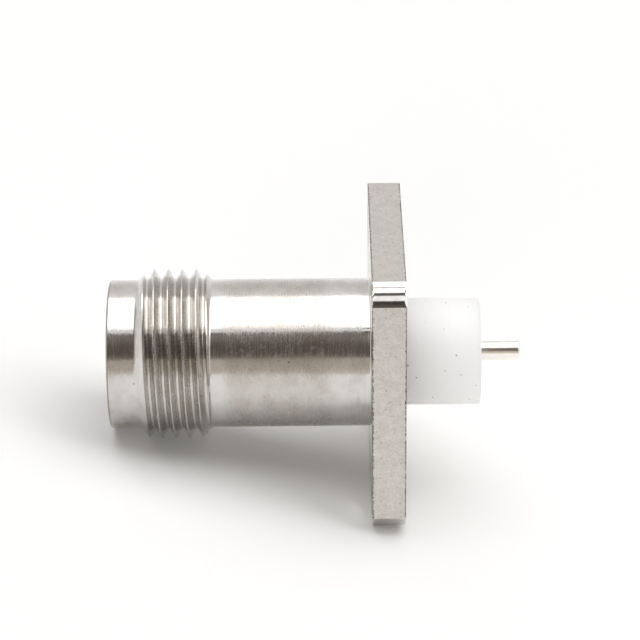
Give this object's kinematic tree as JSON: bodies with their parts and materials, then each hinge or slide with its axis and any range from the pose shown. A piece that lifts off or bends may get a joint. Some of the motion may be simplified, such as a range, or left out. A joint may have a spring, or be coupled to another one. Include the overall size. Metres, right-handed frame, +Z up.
{
  "type": "tnc connector",
  "caption": "Threaded coaxial panel socket with a square screw flange, a white insulator tail and a solder pin.",
  "frame": {"origin": "on the connector's axis, on the rear face of the flange, at the centre of the screw holes", "axes": "+X along the connector towards the solder pin, with the mouth at -X; the flange's sides lie along Y and Z; +Z up"},
  "size_m": [0.0269, 0.0176, 0.0176],
  "materials": {
    "nickel_plated_brass": "satin",
    "ptfe": "satin",
    "plated_contact": "satin"
  },
  "bodies": {
    "root": {"body": "nickel_plated_brass", "insulator": "ptfe", "centre_contact": "plated_contact"}
  },
  "joints": []
}
